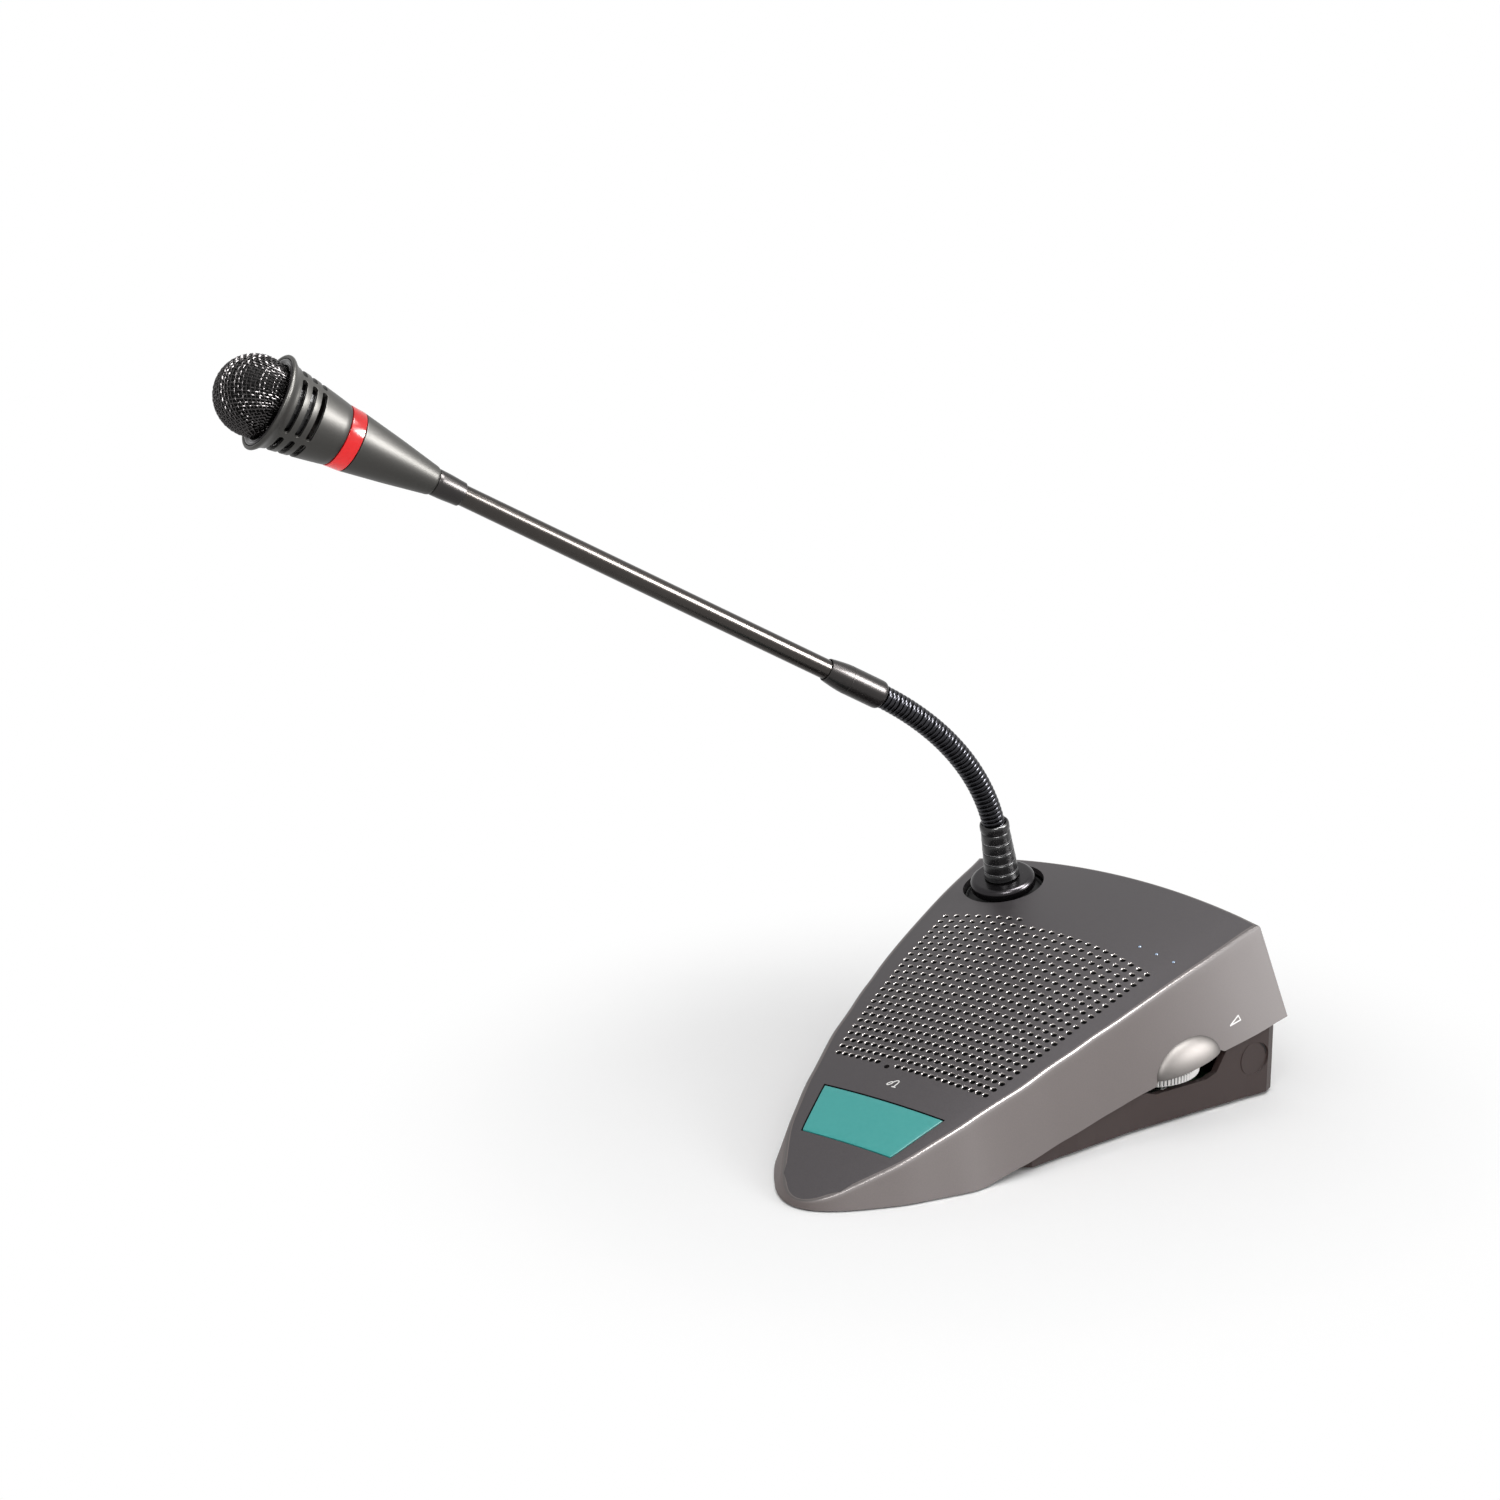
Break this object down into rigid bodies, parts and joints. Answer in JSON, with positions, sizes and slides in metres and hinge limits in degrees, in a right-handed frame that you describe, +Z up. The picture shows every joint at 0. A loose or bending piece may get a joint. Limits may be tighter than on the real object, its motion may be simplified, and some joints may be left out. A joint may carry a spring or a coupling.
{
  "type": "gooseneck microphone",
  "caption": "Wedge-shaped table discussion unit with loudspeaker grille, talk button, side volume wheel and a gooseneck microphone with red light ring and ball windscreen.",
  "frame": {"origin": "centre of the whole part's bounding box at table level, feet on the table", "axes": "+Z up, -Y towards the unit's front tip (the person who talks), +X to that person's right; the stem leans over the front left"},
  "size_m": [0.2244, 0.2472, 0.2429],
  "materials": {
    "base_plastic": "matte",
    "black_plastic": "matte",
    "black_rubber": "matte",
    "board_green": "matte",
    "brass": "brass",
    "button_teal": "satin",
    "cloth": "matte",
    "cone_paper": "matte",
    "dark_chrome": "polished",
    "deck_paint": "satin",
    "ferrite": "matte",
    "head_gunmetal": "satin",
    "lens": "clear",
    "mesh_black": "matte",
    "neck_steel": "dark",
    "ring_red": "gloss",
    "steel": "brushed",
    "tube_chrome": "polished",
    "white_plastic": "satin"
  },
  "bodies": {
    "base": {"button_guide": "black_plastic", "foot_front_left": "black_rubber", "foot_front_right": "black_rubber", "foot_rear_left": "black_rubber", "foot_rear_right": "black_rubber", "headphone_socket": "black_plastic", "indicator_light_1": "lens", "indicator_light_2": "lens", "indicator_light_3": "lens", "link_socket_in": "black_plastic", "link_socket_out": "black_plastic", "lower_housing": "base_plastic", "main_board": "board_green", "mic_flange": "head_gunmetal", "speaker_basket": "steel", "speaker_cloth": "cloth", "speaker_cone": "cone_paper", "speaker_magnet": "ferrite", "standoff_front_left": "brass", "standoff_front_right": "brass", "standoff_rear_left": "brass", "standoff_rear_right": "brass", "stem_boot": "black_rubber", "stem_nut": "steel", "stem_seat": "black_plastic", "talk_switch": "black_plastic", "upper_housing": "deck_paint", "volume_control": "steel"},
    "button": {"talk_button": "button_teal", "button_plunger": "white_plastic"},
    "wheel": {"volume_wheel": "black_plastic"},
    "link_01": {"neck_link_01": "neck_steel"},
    "link_02": {"neck_link_02": "neck_steel"},
    "link_03": {"neck_link_03": "neck_steel"},
    "link_04": {"neck_link_04": "neck_steel"},
    "link_05": {"neck_link_05": "neck_steel"},
    "link_06": {"neck_link_06": "neck_steel"},
    "link_07": {"neck_link_07": "neck_steel"},
    "link_08": {"neck_link_08": "neck_steel"},
    "link_09": {"neck_link_09": "neck_steel"},
    "link_10": {"neck_link_10": "neck_steel"},
    "link_11": {"neck_link_11": "neck_steel"},
    "link_12": {"neck_link_12": "neck_steel"},
    "link_13": {"neck_link_13": "neck_steel"},
    "link_14": {"neck_link_14": "neck_steel"},
    "arm": {"stem_tube": "tube_chrome", "lower_sleeve": "tube_chrome", "upper_sleeve": "tube_chrome", "head_cone": "head_gunmetal", "ring_light_board": "board_green", "light_ring": "ring_red", "head_body": "head_gunmetal", "rim_ring": "dark_chrome", "mesh_ball": "mesh_black", "foam_liner": "cloth", "mic_capsule": "steel", "capsule_holder": "black_rubber"}
  },
  "joints": [
    {"name": "neck_bend_00", "type": "hinge", "parent": "base", "child": "link_01", "pos_m": [0.01249, 0.09936, 0.07087], "axis": [0.8184, -0.5541, -0.1526], "range_deg": [-7.5, 3.5]},
    {"name": "neck_sway_01", "type": "hinge", "parent": "link_01", "child": "link_02", "pos_m": [0.01228, 0.09778, 0.07549], "axis": [-0.5688, -0.7427, -0.3535], "range_deg": [-5.5, 5.5]},
    {"name": "neck_bend_02", "type": "hinge", "parent": "link_02", "child": "link_03", "pos_m": [0.01188, 0.09594, 0.08001], "axis": [0.8184, -0.5541, -0.1526], "range_deg": [-7.5, 3.5]},
    {"name": "neck_sway_03", "type": "hinge", "parent": "link_03", "child": "link_04", "pos_m": [0.01129, 0.09386, 0.08439], "axis": [-0.5526, -0.6858, -0.4736], "range_deg": [-5.5, 5.5]},
    {"name": "neck_bend_04", "type": "hinge", "parent": "link_04", "child": "link_05", "pos_m": [0.01052, 0.09155, 0.08863], "axis": [0.8184, -0.5541, -0.1526], "range_deg": [-7.5, 3.5]},
    {"name": "neck_sway_05", "type": "hinge", "parent": "link_05", "child": "link_06", "pos_m": [0.00958, 0.08903, 0.09272], "axis": [-0.5289, -0.6223, -0.5771], "range_deg": [-5.5, 5.5]},
    {"name": "neck_bend_06", "type": "hinge", "parent": "link_06", "child": "link_07", "pos_m": [0.00848, 0.08633, 0.09664], "axis": [0.8184, -0.5541, -0.1526], "range_deg": [-7.5, 3.5]},
    {"name": "neck_sway_07", "type": "hinge", "parent": "link_07", "child": "link_08", "pos_m": [0.00723, 0.08345, 0.1004], "axis": [-0.5, -0.5555, -0.6643], "range_deg": [-5.5, 5.5]},
    {"name": "neck_bend_08", "type": "hinge", "parent": "link_08", "child": "link_09", "pos_m": [0.00584, 0.08042, 0.10397], "axis": [0.8184, -0.5541, -0.1526], "range_deg": [-7.5, 3.5]},
    {"name": "neck_sway_09", "type": "hinge", "parent": "link_09", "child": "link_10", "pos_m": [0.00433, 0.07725, 0.10737], "axis": [-0.4681, -0.4885, -0.7364], "range_deg": [-5.5, 5.5]},
    {"name": "neck_bend_10", "type": "hinge", "parent": "link_10", "child": "link_11", "pos_m": [0.0027, 0.07396, 0.1106], "axis": [0.8184, -0.5541, -0.1526], "range_deg": [-7.5, 3.5]},
    {"name": "neck_sway_11", "type": "hinge", "parent": "link_11", "child": "link_12", "pos_m": [0.00096, 0.07055, 0.11364], "axis": [-0.435, -0.4236, -0.7946], "range_deg": [-5.5, 5.5]},
    {"name": "neck_bend_12", "type": "hinge", "parent": "link_12", "child": "link_13", "pos_m": [-0.00088, 0.06704, 0.11652], "axis": [0.8184, -0.5541, -0.1526], "range_deg": [-7.5, 3.5]},
    {"name": "neck_sway_13", "type": "hinge", "parent": "link_13", "child": "link_14", "pos_m": [-0.0028, 0.06345, 0.11922], "axis": [-0.4023, -0.3626, -0.8406], "range_deg": [-5.5, 5.5]},
    {"name": "neck_bend_14", "type": "hinge", "parent": "link_14", "child": "arm", "pos_m": [-0.00481, 0.05979, 0.12176], "axis": [0.8184, -0.5541, -0.1526], "range_deg": [-7.5, 3.5]},
    {"name": "talk_button_press", "type": "slide", "parent": "base", "child": "button", "axis": [0, 0.3637, -0.9315], "range_m": [0, 0.0012], "stiffness_N_per_m": 400},
    {"name": "volume_turn", "type": "hinge", "parent": "base", "child": "wheel", "pos_m": [0.08411, 0.0786, 0.013], "axis": [0, 0, 1], "range_deg": [-140, 140]}
  ]
}
